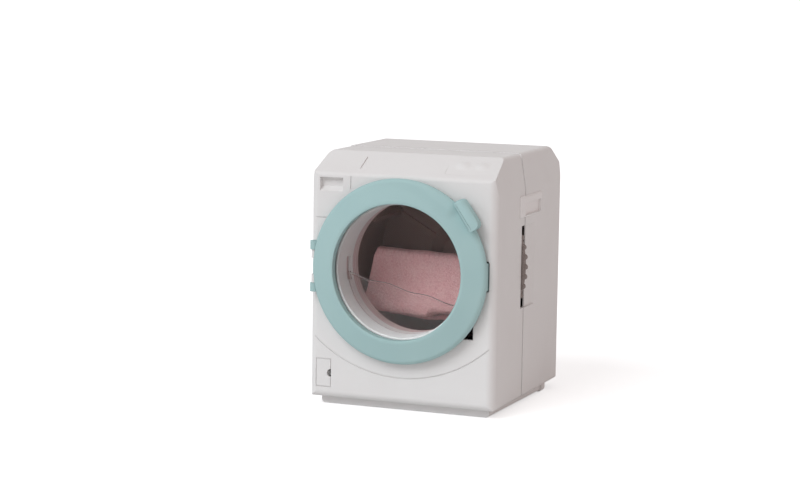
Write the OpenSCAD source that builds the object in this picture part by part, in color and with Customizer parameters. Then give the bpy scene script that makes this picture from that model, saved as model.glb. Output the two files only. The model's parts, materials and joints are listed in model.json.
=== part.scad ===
// Toy front-loading washing machine, doll scale.
// Sizes are in millimetres. X runs to the right, Y from the front to the back, Z up.
// Modules are drawn from the front panel (Y = 0) and the casing's underside (Z = 0).
// place() then moves them so that the origin is under the middle of the whole toy, on the floor.

/* [Casing] */
// Width of the casing
body_w = 100; // [98:1:104]
// Depth of the casing, front panel to rear wall
body_d = 103; // [101:1:108]
// Height of the casing without the base plate
body_h = 126; // [126:1:130]
// Thickness of the casing's walls
wall = 1.8; // [1.6:0.1:2.0]
// Distance from the front panel to the seam between the two shells
seam_y = 43.6; // [43.2:0.1:44.2]
// Height of the bend between the front panel and the sloping control panel
bend_z = 115.5; // [115:0.5:117]
// Depth that the sloping control panel takes up
slope_run = 19; // [17:0.5:20]
// Depth of the chamfer along the top rear edge
chamfer_run = 12.5; // [10:0.5:14]
// Drop of the chamfer along the top rear edge
chamfer_drop = 9.5; // [8:0.5:11]
// Distance that the rear shell stands proud of the front shell at the seam
rear_step = 0.35; // [0.2:0.05:0.5]
// Height of the rails under the casing
plinth_h = 4.2; // [4:0.1:5]

/* [Drum] */
// Height of the drum's axis above the casing's underside
axis_z = 68; // [67:0.5:68]
// Inner radius of the drum's mouth
mouth_r = 33.5; // [33:0.1:33.6]
// Outer radius of the drum's cup
cup_r = 45.6; // [45:0.1:45.8]
// Tip radius of the scalloped thumb wheel round the drum
wheel_r = 52.4; // [52:0.1:52.6]
// Number of scallops on the thumb wheel
scallops = 63; // [40:1:72]
// Number of lifter fins in the drum
fins = 3; // [1:2:3]

/* [Door] */
// Outer radius of the door's ring
door_r = 46.9; // [46.6:0.1:47]
// Radius of the window in the door
window_r = 34.4; // [34:0.1:34.6]
// Distance that the window's lip stands in front of the panel
lip_y = 8.1; // [7.8:0.1:8.5]
// Distance that the ring's outer edge stands in front of the panel
edge_y = 5.6; // [5.2:0.1:6]
// Distance that the pull stands in front of the panel
pull_y = 9.5; // [9.5:0.1:10.5]

/* [Water plate] */
// Tilt of the wavy top edge, in degrees
wave_tilt = 12.4; // [0:0.2:14]
// Length of one wave
wave_length = 21.6; // [15:0.2:26]
// Height of a crest over the middle of the wave
wave_height = 0.5; // [0.2:0.1:1]

/* [Hidden] */
$fn = 96;

// How far a cutting shape reaches past the surface that it cuts
past = 1;
// Gap round a screw or pin that grips, and round one that passes freely
grip_gap = 0.02;
free_gap = 0.2;

// The whole toy reaches from the pull's face to the rear wall, and the origin is midway.
y_mid = (body_d - pull_y) / 2;
half_w = body_w / 2;
slope_angle = atan2(body_h - bend_z, slope_run);

// Radii of the casing's outer edges
front_edge_r = 4.2;
rear_edge_r = 3;
top_edge_r = 2.6;
lean_r = 20;
bottom_front_r = 3.5;
bottom_rear_r = 4;
bottom_side_r = 1.8;
bend_r = 2.5;
least_r = 0.4;

// The side walls lean inwards towards the top
lean_in = 2.9;
lean_drop = 18;

// Fine grooves: the seam, and the lines moulded in the front panel
seam_w = 0.35;
seam_deep = 0.4;
line_w = 0.5;
line_deep = 0.35;

// Mouth tube of the front shell, round which the drum's sleeve turns
tube_wall = 1.5;
tube_r = mouth_r + tube_wall;
tube_y = [-2.9, 16.5];

// Slot for the thumb wheel across the seam, and the groove for the thumb behind it
slot_y = [39, 46.6];
slot_half_h = 21.25;
slot_deep = 4;
thumb_y = 58.6;
thumb_deep = 0.7;
thumb_ramp = 2.6;

// Case screws: they sit deep in tubes that open at the rear wall
case_screw_x = 43;
case_screw_z = [12, 109];
case_boss_r = 3.5;
case_tube_r = 4;
case_bore_r = 3;
case_seat_y = 48.8;
case_screw_r = 1.3;
case_head_r = 2.6;
case_head_h = 1.6;
case_screw_len = 12;

// Base screws: they hold the base plate under both shells
base_screw_x = 38;
base_screw_y = [22, 74];
base_boss_r = 3;
base_boss_h = 9;
base_pilot_h = 7;
base_screw_r = 1.1;
base_head_r = 2.2;
base_head_h = 1.2;
base_screw_len = 7;

// Base plate, which widens towards the back, with a skirt round it and two rails
plate_t = 2;
plate_half_w = [46, 48];
plate_y = [6.4, 86.4];
plate_corner_r = 3;
skirt_h = 3.1;
skirt_w = 1.6;
rail_half_w = [45.7, 48.8];
rail_d = 5.4;
rail_foot_r = 2;
rail_top_r = 1;

// Drawer recess at the top left: heights of its sill, its floor's rear and its top
drawer_x = [-44.9, -32.4];
drawer_z = [106.3, 108.6, 113.2];
drawer_deep = 2.6;
drawer_wall = 2;

// Lines on the front panel: the drawer's edges, and the long curve near the bottom
drawer_line_x = -28;
drawer_line_z = [108, bend_z - 1.5];
ledge_line_z = 92.7;
ledge_line_x = [1 - half_w, -38];
curve_r = 69.8;
curve_z = 83.1;
curve_top_z = 31.5;
curve_margin = 2.5;

// Filter cover at the bottom left, with a half-round notch for a finger nail
cover_x = [-46.2, -38.2];
cover_z = [5.6, 20];
cover_line_w = 0.4;
cover_notch_r = 2.1;
cover_notch_z = 12.7;

// Small hole low at the right, with heights counted from the drum's axis
port_x = [33, 38.6];
port_z = [-32.2, -24.8];

// Two soft domes moulded in the sloping panel
button_x = [28.2, 38.2];
button_along = 12.5;
button_r = 4.6;
button_rise = 0.75;
button_steps = 9;

// Shallow bed round the buttons, and a raised tick at the left, along the sloping panel
bed_x = [20.5, 45];
bed_along = [4, 17.6];
bed_deep = 0.2;
bed_corner_r = 2;
tick_x = -25;
tick_along = [5.2, 15.6];
tick_w = 0.45;
tick_rise = 0.3;

// Side grips, set in a shallow bed across the seam
grip_y = [35, 67.6];
grip_z = [93.6, 104.6];
grip_bed = 1;
grip_proud = 1.2;
grip_edge = 0.7;
grip_peg_r = 1.1;
grip_peg_end = 2.4;
grip_peg_z = 99;
grip_peg_y = [38, 65];
grip_pocket_y = [41.2, 66];
grip_pocket_z = [94.5, 100.9];
grip_pocket_deep = 1.6;

// Water plate across the lower part of the mouth: two ears sit in notches of the tube
water_y = [8.55, 9.65];
water_start_z = -3.6;
water_phase = 10.4;
water_step = 1.8;
water_gap = 0.35;
ear_angle = [189.5, -36];
ear_half_w = 2;
ear_r = 34.7;
ear_root = 3;
notch_y = [8.3, 14.4];
notch_z = [-8, 4.2];
notch_deep = 5;

// Hinge of the door, upright at the left, with heights counted from the drum's axis
hinge_x = -46.55;
hinge_y = -2.6;
knuckle_r = 2.2;
knuckle_z = [8.6, 13];
knuckle_arm = 5;
lug_r = 1.5;
lug_z = [4.2, 8.5];
pin_r = 0.8;
pin_z = [4.3, 12.2];
pin_gap = 0.05;
lug_room = 0.8;

// Door ring: a dished ring with a pocket behind it for the back ring
ring_back_y = -3.2;
ring_wall = 1.8;
ring_edge_r = 1.7;
ring_skin = 2.2;
ring_fall = 1.7;
lip_w = 1.6;
lip_bevel = 0.4;
seat_y = -4.2;
seat_w = 3;

// Pull on the ring, turned up from the right-hand side
pull_angle = 35;
pull_len = 16.8;
pull_w = 5.8;
pull_mid_r = 48.2;
pull_shift = 4.4;
pull_inner_r = 1.2;
pull_outer_r = 2.6;
pull_foot = 0.4;

// Back ring of the door, with a rib that snaps into the pocket
back_y = -1.2;
back_in_r = 35.9;
back_out_r = 45.6;
rib_r = [43.4, 44.95];
rib_y = -3.9;
window_lap = 2.7;

// Catch lug of the door, and its hole in the panel
catch_x = [42.6, 46];
catch_half_h = 6.9;
catch_end_y = 4;
catch_hole_x = [41.8, 46.6];
catch_hole_half_h = 7.75;
catch_hole_r = 1.2;

// Drum: a sleeve round the mouth tube, a neck, a wide spigot and the cup
run_gap = 0.08;
fit_gap = 0.08;
sleeve_y = 9;
sleeve_wall = 1.5;
neck_y = [17, 24];
neck_step = 0.2;
drum_wall = 1.6;
spigot_end_y = seam_y + 0.7;
wheel_y = [39.6, 42.9];
scallop_r = 1.5;
scallop_rise = 1.1;
band_h = 3.4;
band_t = 1.2;
cup_back_y = body_d - 18;

// Stub axle at the back of the drum, and its bearing on the rear wall
stub_r = 5;
stub_end_y = body_d - 5;
stub_gap = 0.06;
collar_w = 3;
collar_h = 2;
bearing_r = 7;
bearing_y = [body_d - 14, body_d - wall / 2];

// Hub, ribs and lifter fins inside the drum
hub_r = 16;
hub_top_r = 7.2;
hub_h = 5;
rib_half_w = 1;
rib_h = 1.8;
fin_angle = 30;
fin_h = 6;
fin_foot_w = 6;
fin_tip_w = 2.4;

// Folded towel, wedged across the drum: corners of its front and its rear, from the axis
towel_y = [38.5, 62];
towel_r = 2.6;
towel_front = [
    [-28.6, 5.2], [-33, -9.5], [-35.6, -21.2], [-29.3, -29.4],
    [29.3, -28.4], [35.6, -21.2], [33, -9.5], [28.6, 3.2]
];
towel_rear = [
    [-28.6, 1.6], [-33, -9.5], [-36.8, -21.2], [-31, -31],
    [31, -31], [36.8, -21.2], [33, -9.5], [28.6, 0]
];

function unit(v) = v / norm(v);
function half_angle(a, b, c) = acos(unit(a - b) * unit(c - b)) / 2;
// Centre of a circle of radius r that touches both edges at corner b
function corner_centre(a, b, c, r) =
    b + unit(unit(a - b) + unit(c - b)) * r / sin(half_angle(a, b, c));
// Point where that circle touches the edge from b to a
function corner_touch(a, b, c, r) = b + unit(a - b) * r / tan(half_angle(a, b, c));
function before(list, i) = list[(i + len(list) - 1) % len(list)];
function after(list, i) = list[(i + 1) % len(list)];
// The outline with every edge moved inwards by d
function inset(points, d) = [
    for (i = [0 : len(points) - 1])
        corner_centre(before(points, i), points[i], after(points, i), d)
];
function inner_radii(radii, d) = [for (r = radii) max(r - d, least_r)];
// Corners of the rectangle between x and z, each given as [low, high]
function corners(x, z) = [[x[0], z[0]], [x[1], z[0]], [x[1], z[1]], [x[0], z[1]]];

// Convex outline with each corner rounded to its own radius
module rounded_outline(points, radii) {
    polygon([
        for (i = [0 : len(points) - 1])
            for (from = [before(points, i), after(points, i)])
                corner_touch(from, points[i], from == before(points, i)
                    ? after(points, i) : before(points, i), radii[i])
    ]);
    for (i = [0 : len(points) - 1])
        translate(corner_centre(before(points, i), points[i], after(points, i), radii[i]))
            circle(r = radii[i]);
}

// Turns a flat shape in X and Z into a solid from y0 to y1
module extrude_y(y0, y1)
    translate([0, y1, 0]) rotate([90, 0, 0]) linear_extrude(y1 - y0) children();

// Turns a flat shape in Y and Z into a solid from x0 to x1
module extrude_x(x0, x1)
    translate([x0, 0, 0]) rotate([90, 0, 90]) linear_extrude(x1 - x0) children();

// Turns a profile of radius and Y round the drum's axis
module round_axis()
    translate([0, 0, axis_z]) rotate([-90, 0, 0]) rotate_extrude() children();

// Flat band of a profile for round_axis(), between two radii and two depths
module band(r, y) translate([r[0], y[0]]) square([r[1] - r[0], y[1] - y[0]]);

module box_between(low, high) translate(low) cube(high - low);

// Moves a flat shape drawn round the drum's axis up to it
module at_axis() translate([0, axis_z]) children();

// Points a cylinder from the front to the back
module backwards() rotate([-90, 0, 0]) children();

// Turns a solid drawn at the right-hand side over to side s
module on_side(s) mirror([s < 0 ? 1 : 0, 0, 0]) children();

module place() translate([0, -y_mid, plinth_h]) children();

// ---- casing ----

// The casing's outer form, moved inwards by d, with its sides and top standing out by step
module casing(d, step = 0) {
    w = half_w + step;
    h = body_h - rear_step + step;
    front = [
        [-w, 0], [w, 0], [w, h - lean_drop], [w - lean_in, h], [lean_in - w, h], [-w, h - lean_drop]
    ];
    front_r = [bottom_side_r, bottom_side_r, lean_r, top_edge_r, top_edge_r, lean_r];
    side = [
        [0, 0], [body_d, 0], [body_d, h - chamfer_drop],
        [body_d - chamfer_run, h], [slope_run, h], [0, bend_z]
    ];
    side_r = [bottom_front_r, bottom_rear_r, bend_r, bend_r, bend_r, bend_r];
    plan = corners([-w, w], [0, body_d]);
    plan_r = [front_edge_r, front_edge_r, rear_edge_r, rear_edge_r];
    intersection() {
        extrude_y(-past, body_d + past) rounded_outline(inset(front, d), inner_radii(front_r, d));
        extrude_x(-half_w - past, half_w + past)
            rounded_outline(inset(side, d), inner_radii(side_r, d));
        translate([0, 0, -past]) linear_extrude(body_h + 2 * past)
            rounded_outline(inset(plan, d), inner_radii(plan_r, d));
    }
}

module half_shell(y0, y1, step) intersection() {
    difference() {
        casing(0, step);
        casing(wall, step);
    }
    box_between([-half_w - past, y0, -past], [half_w + past, y1, body_h + past]);
}

// Beds for the side grips, with their peg holes
module grip_beds() for (s = [-1, 1]) on_side(s) translate([half_w, 0, 0]) {
    box_between([-grip_bed, grip_y[0], grip_z[0]], [past, grip_y[1], grip_z[1]]);
    for (y = grip_peg_y) translate([-grip_peg_end - past, y, grip_peg_z]) rotate([0, 90, 0])
        cylinder(r = grip_peg_r + grip_gap, h = grip_peg_end + past);
}

module at_case_screws() for (x = [-case_screw_x, case_screw_x]) for (z = case_screw_z)
    translate([x, 0, z]) backwards() children();

module at_base_screws(y) for (x = [-base_screw_x, base_screw_x]) translate([x, y, 0]) children();

module base_bosses(y) at_base_screws(y) cylinder(r = base_boss_r, h = base_boss_h);

module base_pilots(y) at_base_screws(y) translate([0, 0, -past])
    cylinder(r = base_screw_r + grip_gap, h = base_pilot_h + past);

module seam_groove() difference() {
    box_between([-half_w - past, seam_y - seam_w, -past],
        [half_w + past, seam_y + past, body_h + past]);
    casing(seam_deep);
}

// Straight groove along the front panel, between two points in X and Z
module panel_groove(a, b, w = line_w) {
    run = b - a;
    translate([a[0], 0, a[1]]) rotate([0, -atan2(run[1], run[0]), 0])
        box_between([-w / 2, -past, -w / 2], [norm(run) + w / 2, line_deep, w / 2]);
}

// Moves to a place on the sloping control panel
module on_slope(x, along)
    translate([x, along * cos(slope_angle), bend_z + along * sin(slope_angle)])
        rotate([slope_angle, 0, 0]) children();

module button_bed() translate([0, 0, -bed_deep])
    linear_extrude(past) translate([0, -bed_along[0]]) rounded_outline(
        corners(bed_x, bed_along), [for (i = [0 : 3]) bed_corner_r]
    );

// Soft dome, whose foot runs out into the panel
module button_dome() translate([0, 0, -bed_deep]) rotate_extrude() polygon(concat(
    [[0, -wall / 2], [button_r, -wall / 2]],
    [for (i = [button_steps : -1 : 0]) let (t = i / button_steps)
        [t * button_r, button_rise * (1 + cos(180 * t)) / 2]]
));

module tick() translate([-tick_w / 2, 0, -wall / 2])
    cube([tick_w, tick_along[1] - tick_along[0], wall / 2 + tick_rise]);

// Tube round the mouth, with a rounded front rim
module mouth_tube() round_axis() {
    rim_y = tube_y[0] + tube_wall / 2;
    band([mouth_r, tube_r], [rim_y, tube_y[1]]);
    translate([mouth_r + tube_wall / 2, rim_y]) circle(r = tube_wall / 2);
}

// Places a part of the hinge on the door's hinge axis, above and below the middle
module at_hinge(low, high) for (z = [low, -high]) translate([hinge_x, hinge_y, axis_z + z]) children();

module hinge_lugs() at_hinge(lug_z[0], lug_z[1]) {
    cylinder(r = lug_r, h = lug_z[1] - lug_z[0]);
    box_between([0, 0, 0], [lug_r, wall / 2 - hinge_y, lug_z[1] - lug_z[0]]);
}

module drawer_backing() box_between(
    [drawer_x[0] - drawer_wall, wall / 2, drawer_z[0] - drawer_wall],
    [drawer_x[1] + drawer_wall, drawer_deep + wall, drawer_z[2] + drawer_wall]
);

module drawer_recess() extrude_x(drawer_x[0], drawer_x[1]) polygon([
    [-past, drawer_z[0]], [0, drawer_z[0]], [drawer_deep, drawer_z[1]],
    [drawer_deep, drawer_z[2]], [-past, drawer_z[2]]
]);

module curved_line() intersection() {
    translate([0, -past, curve_z]) backwards() difference() {
        cylinder(r = curve_r + line_w / 2, h = past + line_deep);
        translate([0, 0, -past]) cylinder(r = curve_r - line_w / 2, h = line_deep + 3 * past);
    }
    box_between([curve_margin - half_w, -past, 0], [half_w - curve_margin, past, curve_top_z]);
}

module filter_cover() {
    outline = corners(cover_x, cover_z);
    for (i = [0 : len(outline) - 1]) panel_groove(outline[i], after(outline, i), cover_line_w);
    intersection() {
        translate([cover_x[1], -past, cover_notch_z]) backwards()
            cylinder(r = cover_notch_r, h = wall + 2 * past);
        box_between([cover_x[0], -past, cover_z[0]], [cover_x[1], wall + past, cover_z[1]]);
    }
}

module catch_hole() extrude_y(-past, wall + past) at_axis() rounded_outline(
    corners(catch_hole_x, [-catch_hole_half_h, catch_hole_half_h]),
    [for (i = [0 : 3]) catch_hole_r]
);

module port_hole() box_between(
    [port_x[0], -past, axis_z + port_z[0]], [port_x[1], wall + past, axis_z + port_z[1]]
);

module wheel_slots() for (s = [-1, 1]) on_side(s) box_between(
    [half_w - slot_deep, slot_y[0], axis_z - slot_half_h],
    [half_w + past, slot_y[1], axis_z + slot_half_h]
);

// Notches of the mouth tube that take the water plate's ears
module tube_notches() {
    box_between([-tube_r - past, notch_y[0], axis_z + notch_z[0]],
        [notch_deep - tube_r, notch_y[1], axis_z + notch_z[1]]);
    translate([0, 0, axis_z]) rotate([0, -ear_angle[1], 0]) box_between(
        [mouth_r - past, notch_y[0], -ear_half_w - free_gap],
        [tube_r + past, water_y[1] + free_gap, ear_half_w + free_gap]
    );
}

module front_shell() color("whitesmoke") place() {
    difference() {
        union() {
            half_shell(-past, seam_y, 0);
            mouth_tube();
            hinge_lugs();
            drawer_backing();
            translate([0, wall / 2, 0]) at_case_screws()
                cylinder(r = case_boss_r, h = seam_y - wall / 2);
            base_bosses(base_screw_y[0]);
        }
        round_axis() band([0, mouth_r], [tube_y[0] - past, tube_y[1] + past]);
        catch_hole();
        port_hole();
        drawer_recess();
        curved_line();
        filter_cover();
        panel_groove([drawer_line_x, drawer_line_z[0]], [drawer_line_x, drawer_line_z[1]]);
        panel_groove([ledge_line_x[0], ledge_line_z], [ledge_line_x[1], ledge_line_z]);
        on_slope(0, bed_along[0]) button_bed();
        seam_groove();
        wheel_slots();
        tube_notches();
        grip_beds();
        translate([0, case_seat_y - case_screw_len - past, 0]) at_case_screws()
            cylinder(r = case_screw_r + grip_gap, h = case_screw_len);
        base_pilots(base_screw_y[0]);
        at_hinge(lug_z[0] - past, lug_z[1] + past)
            cylinder(r = pin_r + grip_gap, h = lug_z[1] - lug_z[0] + 2 * past);
    }
    for (x = button_x) on_slope(x, button_along) button_dome();
    on_slope(tick_x, tick_along[0]) tick();
}

// Shallow groove for the thumb, which runs out towards the back
module thumb_groove(s) on_side(s) translate([half_w, 0, axis_z - slot_half_h])
    linear_extrude(2 * slot_half_h) polygon([
        [-thumb_deep, seam_y - past], [past, seam_y - past], [past, thumb_y + thumb_ramp],
        [0, thumb_y], [-thumb_deep, thumb_y - thumb_ramp]
    ]);

module rear_shell() color("gainsboro") place() difference() {
    union() {
        half_shell(seam_y, body_d + past, rear_step);
        translate([0, seam_y, 0]) at_case_screws()
            cylinder(r = case_tube_r, h = body_d - wall / 2 - seam_y);
        round_axis() band([0, bearing_r], bearing_y);
        base_bosses(base_screw_y[1]);
    }
    wheel_slots();
    for (s = [-1, 1]) thumb_groove(s);
    grip_beds();
    translate([0, case_seat_y, 0]) at_case_screws() cylinder(r = case_bore_r, h = body_d);
    translate([0, seam_y - past, 0]) at_case_screws()
        cylinder(r = case_screw_r + free_gap, h = body_d / 2);
    round_axis() band([0, stub_r + stub_gap], [bearing_y[0] - past, stub_end_y + past]);
    base_pilots(base_screw_y[1]);
}

module grip(s) on_side(s) translate([half_w, 0, 0]) difference() {
    union() {
        hull() {
            box_between([-grip_bed, grip_y[0], grip_z[0]],
                [grip_proud - grip_edge, grip_y[1], grip_z[1]]);
            box_between([-grip_bed, grip_y[0] + grip_edge, grip_z[0] + grip_edge],
                [grip_proud, grip_y[1] - grip_edge, grip_z[1] - grip_edge]);
        }
        for (y = grip_peg_y) translate([-grip_peg_end, y, grip_peg_z]) rotate([0, 90, 0])
            cylinder(r = grip_peg_r, h = grip_peg_end);
    }
    box_between([grip_proud - grip_pocket_deep, grip_pocket_y[0], grip_pocket_z[0]],
        [grip_proud + past, grip_pocket_y[1], grip_pocket_z[1]]);
}

module side_grip_left() color("white") place() grip(-1);
module side_grip_right() color("white") place() grip(1);

// The base plate's outline, moved inwards by d
module plate_outline(d) rounded_outline(
    inset([
        [-plate_half_w[0], plate_y[0]], [plate_half_w[0], plate_y[0]],
        [plate_half_w[1], plate_y[1]], [-plate_half_w[1], plate_y[1]]
    ], d),
    inner_radii([for (i = [0 : 3]) plate_corner_r], d)
);

module rail(y, w) extrude_y(y, y + rail_d) rounded_outline(
    corners([-w, w], [-plinth_h, 0]), [rail_foot_r, rail_foot_r, rail_top_r, rail_top_r]
);

module base_plate() color("whitesmoke") place() difference() {
    union() {
        translate([0, 0, -plate_t]) linear_extrude(plate_t) plate_outline(0);
        translate([0, 0, -skirt_h]) linear_extrude(skirt_h) difference() {
            plate_outline(0);
            plate_outline(skirt_w);
        }
        rail(plate_y[0], rail_half_w[0]);
        rail(plate_y[1] - rail_d, rail_half_w[1]);
    }
    for (y = base_screw_y) at_base_screws(y) translate([0, 0, -plate_t - past]) {
        cylinder(r = base_screw_r + free_gap, h = plate_t + 2 * past);
        cylinder(r = base_head_r + free_gap, h = base_head_h + past);
    }
}

// ---- water plate ----

// Height of the wavy edge at x, counted from the drum's axis
function water_line(x) = water_start_z - tan(wave_tilt) * (x + mouth_r)
    + wave_height * cos(360 * (x + water_phase) / wave_length);

module water_plate() color("lightcyan", 0.5) place() extrude_y(water_y[0], water_y[1]) at_axis() {
    side = tube_r + past;
    intersection() {
        circle(r = mouth_r - water_gap);
        polygon(concat(
            [for (x = [-side : water_step : side]) [x, water_line(x)]],
            [[side, -side], [-side, -side]]
        ));
    }
    for (a = ear_angle) rotate(a) translate([ear_r - ear_root, -ear_half_w])
        square([ear_root, 2 * ear_half_w]);
}

// ---- screws and pins ----

module cross_recess(size, deep) for (s = [[size, size / 4, deep], [size / 4, size, deep]])
    translate([0, 0, deep / 2]) cube(s, center = true);

// Screw along -Z with the underside of its head at the origin
module screw(r, head_r, head_h, len) difference() {
    union() {
        cylinder(r = head_r, h = head_h);
        translate([0, 0, -len]) cylinder(r = r, h = len + head_h / 2);
    }
    translate([0, 0, head_h / 2]) cross_recess(head_r * 1.2, head_h);
}

module case_screw(x, z) color("dimgray") place() translate([x, case_seat_y, z]) backwards()
    screw(case_screw_r, case_head_r, case_head_h, case_screw_len);

module base_screw(x, y) color("dimgray") place() translate([x, y, base_head_h - plate_t])
    rotate([180, 0, 0]) screw(base_screw_r, base_head_r, base_head_h, base_screw_len);

module case_screw_1() case_screw(-case_screw_x, case_screw_z[0]);
module case_screw_2() case_screw(case_screw_x, case_screw_z[0]);
module case_screw_3() case_screw(-case_screw_x, case_screw_z[1]);
module case_screw_4() case_screw(case_screw_x, case_screw_z[1]);
module base_screw_1() base_screw(-base_screw_x, base_screw_y[0]);
module base_screw_2() base_screw(base_screw_x, base_screw_y[0]);
module base_screw_3() base_screw(-base_screw_x, base_screw_y[1]);
module base_screw_4() base_screw(base_screw_x, base_screw_y[1]);

module hinge_pin(low) color("silver") place()
    translate([hinge_x, hinge_y, axis_z + low]) cylinder(r = pin_r, h = pin_z[1] - pin_z[0]);

module hinge_pin_upper() hinge_pin(pin_z[0]);
module hinge_pin_lower() hinge_pin(-pin_z[1]);

// ---- door ----

module pull() translate([0, 0, axis_z]) rotate([0, -pull_angle, 0])
    translate([pull_mid_r, 0, pull_shift]) extrude_y(-pull_y, ring_back_y - pull_foot)
        rounded_outline(
            corners([-pull_w / 2, pull_w / 2], [-pull_len / 2, pull_len / 2]),
            [pull_inner_r, pull_outer_r, pull_outer_r, pull_inner_r]
        );

// The ring's cross-section in radius and Y, without the pocket and the window's seat
module ring_section() {
    edge_mid = [door_r - ring_edge_r, ring_edge_r - edge_y];
    polygon([
        [window_r, lip_bevel - lip_y], [window_r + lip_bevel, -lip_y],
        [window_r + lip_w, -lip_y], [edge_mid[0], -edge_y],
        [edge_mid[0], ring_back_y], [window_r, ring_back_y]
    ]);
    intersection() {
        translate(edge_mid) circle(r = ring_edge_r);
        band([edge_mid[0], door_r], [-edge_y, ring_back_y]);
    }
    band([edge_mid[0], door_r], [edge_mid[1], ring_back_y]);
}

module ring_pocket() {
    pocket_r = [window_r + lip_w, door_r - ring_wall];
    front_y = ring_skin - lip_y;
    polygon([
        [pocket_r[0], front_y], [pocket_r[1], front_y + ring_fall],
        [pocket_r[1], past], [pocket_r[0], past]
    ]);
    band([0, window_r + seat_w], [seat_y, past]);
}

module door_ring() color("powderblue") place() difference() {
    union() {
        round_axis() difference() {
            ring_section();
            ring_pocket();
        }
        pull();
    }
    at_hinge(lug_z[0] - free_gap, knuckle_z[1] + free_gap)
        cylinder(r = knuckle_r + free_gap, h = knuckle_z[1] - lug_z[0] + 2 * free_gap);
}

module door_back() color("powderblue") place() difference() {
    union() {
        round_axis() {
            band([back_in_r, back_out_r], [ring_back_y, back_y]);
            band(rib_r, [rib_y, back_y]);
        }
        at_hinge(knuckle_z[0], knuckle_z[1]) {
            cylinder(r = knuckle_r, h = knuckle_z[1] - knuckle_z[0]);
            box_between([0, ring_back_y - hinge_y, 0],
                [knuckle_arm, back_y - hinge_y, knuckle_z[1] - knuckle_z[0]]);
        }
        box_between([catch_x[0], ring_back_y, axis_z - catch_half_h],
            [catch_x[1], catch_end_y, axis_z + catch_half_h]);
    }
    at_hinge(lug_z[0] - free_gap, lug_z[1] + pin_gap)
        cylinder(r = lug_r + lug_room, h = lug_z[1] - lug_z[0] + free_gap + pin_gap);
    at_hinge(lug_z[0] - past, knuckle_z[1] + past)
        cylinder(r = pin_r + pin_gap, h = knuckle_z[1] - lug_z[0] + 2 * past);
}

module door_window() color("azure", 0.3) place() round_axis()
    band([0, window_r + window_lap], [seat_y, ring_back_y]);

// ---- drum ----

module drum_mouth() color("dimgray", 0.8) place() round_axis() {
    inner_r = tube_r + run_gap;
    outer_r = inner_r + sleeve_wall;
    front_y = neck_y[1] - drum_wall;
    band([inner_r, outer_r], [sleeve_y, neck_y[0]]);
    band([mouth_r + neck_step, outer_r], neck_y);
    band([mouth_r + neck_step, cup_r - fit_gap], [front_y, neck_y[1]]);
    band([cup_r - fit_gap - drum_wall, cup_r - fit_gap], [front_y, spigot_end_y]);
}

module thumb_wheel() color("dimgray", 0.8) place() extrude_y(wheel_y[0], wheel_y[1]) at_axis()
    difference() {
        union() {
            circle(r = wheel_r - scallop_rise);
            for (i = [0 : scallops - 1]) rotate(i * 360 / scallops)
                translate([wheel_r - scallop_r, 0]) circle(r = scallop_r);
        }
        circle(r = cup_r);
    }

// Lifter fin along the drum's wall, drawn at the right-hand side
module drum_fin() {
    root_r = cup_r - drum_wall / 2;
    tip_r = cup_r - drum_wall - fin_h;
    backwards() translate([0, 0, spigot_end_y + past])
        linear_extrude(cup_back_y - drum_wall / 2 - spigot_end_y - past) polygon([
            [root_r, -fin_foot_w / 2], [tip_r, -fin_tip_w / 2],
            [tip_r, fin_tip_w / 2], [root_r, fin_foot_w / 2]
        ]);
}

module drum_cup() color("dimgray", 0.8) place() {
    floor_y = cup_back_y - drum_wall;
    round_axis() {
        band([cup_r, cup_r + band_t], [wheel_y[1], wheel_y[1] + band_h]);
        band([cup_r - drum_wall, cup_r], [spigot_end_y, cup_back_y]);
        band([0, cup_r], [floor_y, cup_back_y]);
        band([0, stub_r], [floor_y, stub_end_y]);
        band([0, stub_r + collar_w], [floor_y, cup_back_y + collar_h]);
        polygon([[0, floor_y - hub_h], [hub_top_r, floor_y - hub_h], [hub_r, floor_y], [0, floor_y]]);
    }
    translate([0, 0, axis_z]) for (i = [0 : fins - 1]) rotate([0, -fin_angle - i * 360 / fins, 0]) {
        drum_fin();
        box_between([hub_top_r, floor_y - rib_h, -rib_half_w],
            [cup_r - drum_wall / 2, cup_back_y - drum_wall / 2, rib_half_w]);
    }
}

// ---- towel ----

// One end of the towel: a ball in each corner
module towel_end(y, face) for (p = inset(face, towel_r))
    translate([p[0], y, axis_z + p[1]]) sphere(r = towel_r, $fn = 24);

module towel() color("lightpink") place() hull() {
    towel_end(towel_y[0] + towel_r, towel_front);
    towel_end(towel_y[1] - towel_r, towel_rear);
}

front_shell();
rear_shell();
base_plate();
side_grip_left();
side_grip_right();
water_plate();
hinge_pin_upper();
hinge_pin_lower();
case_screw_1();
case_screw_2();
case_screw_3();
case_screw_4();
base_screw_1();
base_screw_2();
base_screw_3();
base_screw_4();
door_ring();
door_back();
door_window();
drum_mouth();
thumb_wheel();
drum_cup();
towel();
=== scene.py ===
"""Looks of a doll-scale toy washing machine with a ring door, a turning drum and a folded towel.

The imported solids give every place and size. This script dresses them, and puts finer pieces in
the place of the door ring, the window, the water plate and the towel.
"""

import json
import logging
import math
from collections.abc import Callable, Iterable, Sequence
from dataclasses import dataclass
from enum import Enum

import bmesh
import bpy
from bmesh.types import BMEdge, BMesh, BMVert
from bpy.types import Material, Node, NodeSocket, NodeTree, Object
from mathutils import Matrix, Vector, noise

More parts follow.
